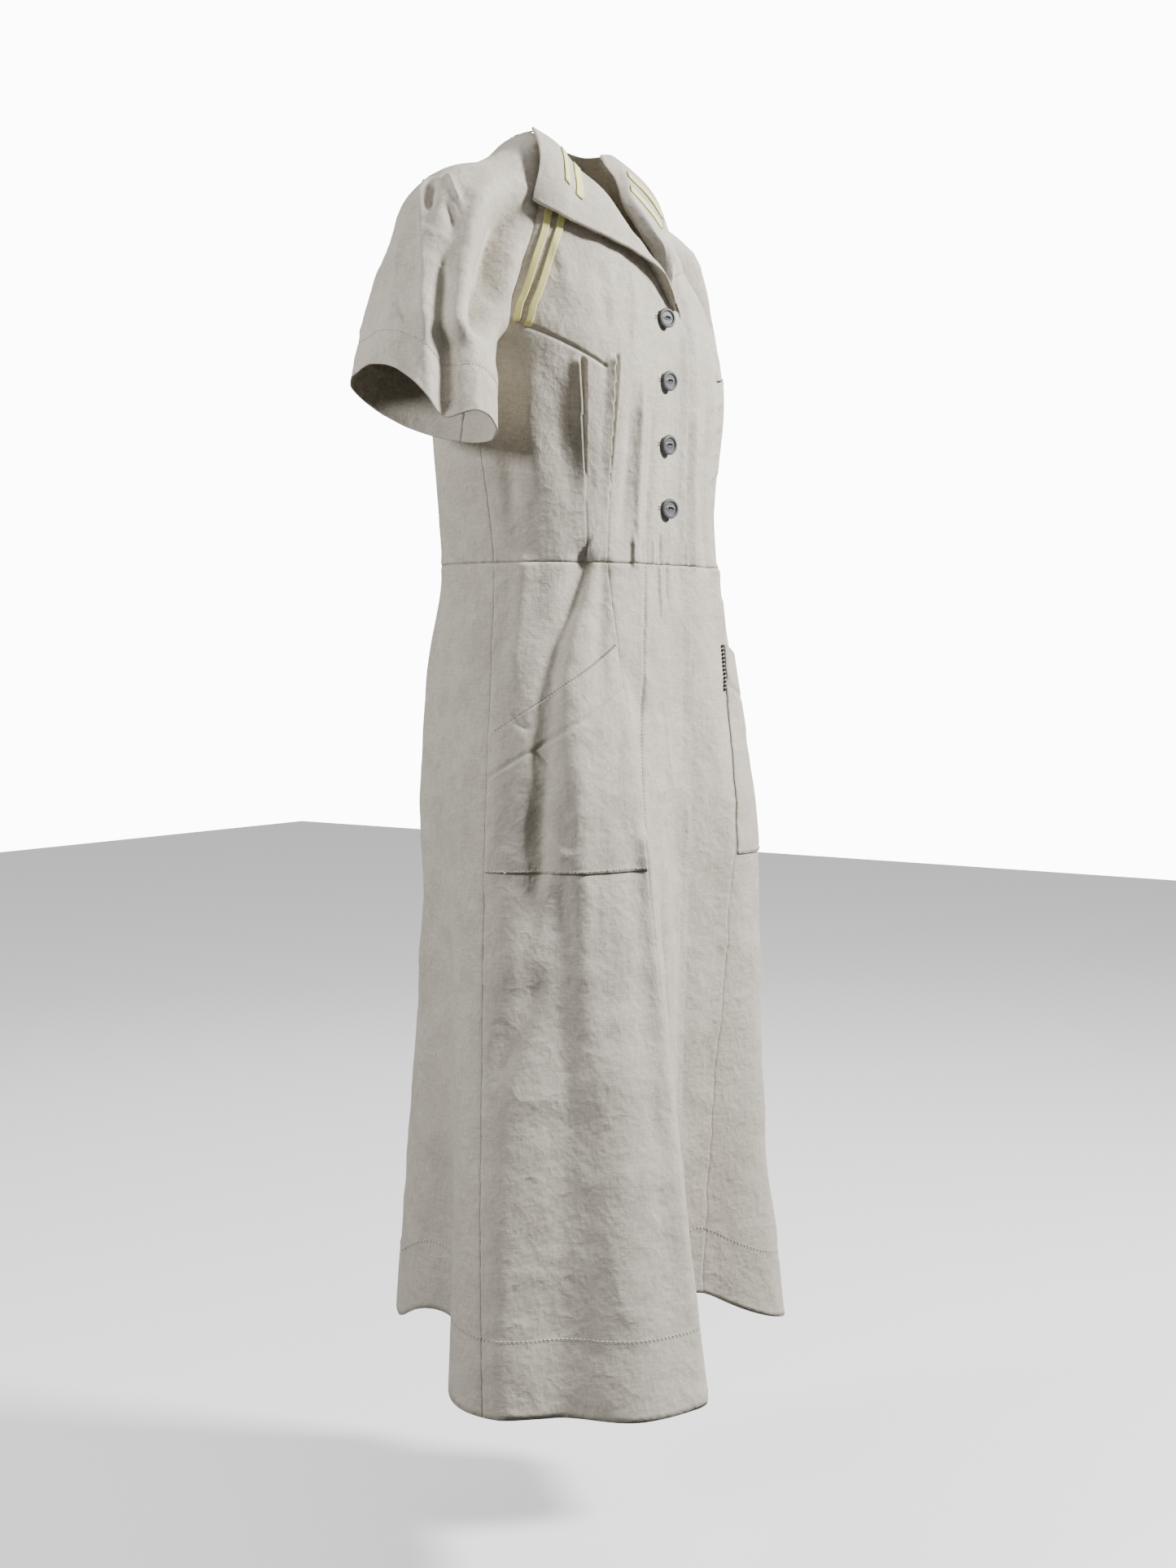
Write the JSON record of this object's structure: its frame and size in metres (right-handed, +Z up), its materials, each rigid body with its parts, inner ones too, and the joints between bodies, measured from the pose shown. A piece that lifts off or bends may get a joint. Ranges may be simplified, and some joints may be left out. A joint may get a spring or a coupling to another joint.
{
  "type": "uniform smock dress",
  "caption": "Short-sleeved, button-front uniform dress in plain cloth, with a pointed front collar, tape stripes, a waist seam and a flared skirt with slanted pockets, in its worn form.",
  "frame": {"origin": "midway between the two side-neck points, where the shoulders hold the dress", "axes": "+Z up, -Y to the front, +X to the wearer's left"},
  "size_m": [0.542, 0.4113, 1.2023],
  "materials": {
    "cloth": "plain-weave cotton, matt and lightly creased",
    "tape": "pale yellow woven tape, matt",
    "button": "grey turned plastic with a raised rim"
  },
  "bodies": {
    "root": {"bodice_back": "cloth", "skirt_back": "cloth", "neck_stand": "cloth", "bodice_front_right": "cloth", "sleeve_right": "cloth", "skirt_front_right": "cloth", "skirt_side_front_right": "cloth", "pocket_right": "cloth", "collar_right": "cloth", "bodice_front_left": "cloth", "sleeve_left": "cloth", "skirt_front_left": "cloth", "skirt_side_front_left": "cloth", "pocket_left": "cloth", "collar_left": "cloth", "body_stripe_outer_right": "tape", "body_stripe_inner_right": "tape", "collar_stripe_outer_right": "tape", "collar_stripe_inner_right": "tape", "body_stripe_outer_left": "tape", "body_stripe_inner_left": "tape", "collar_stripe_outer_left": "tape", "collar_stripe_inner_left": "tape", "button_1": "button", "button_2": "button", "button_3": "button", "button_4": "button"}
  },
  "joints": []
}
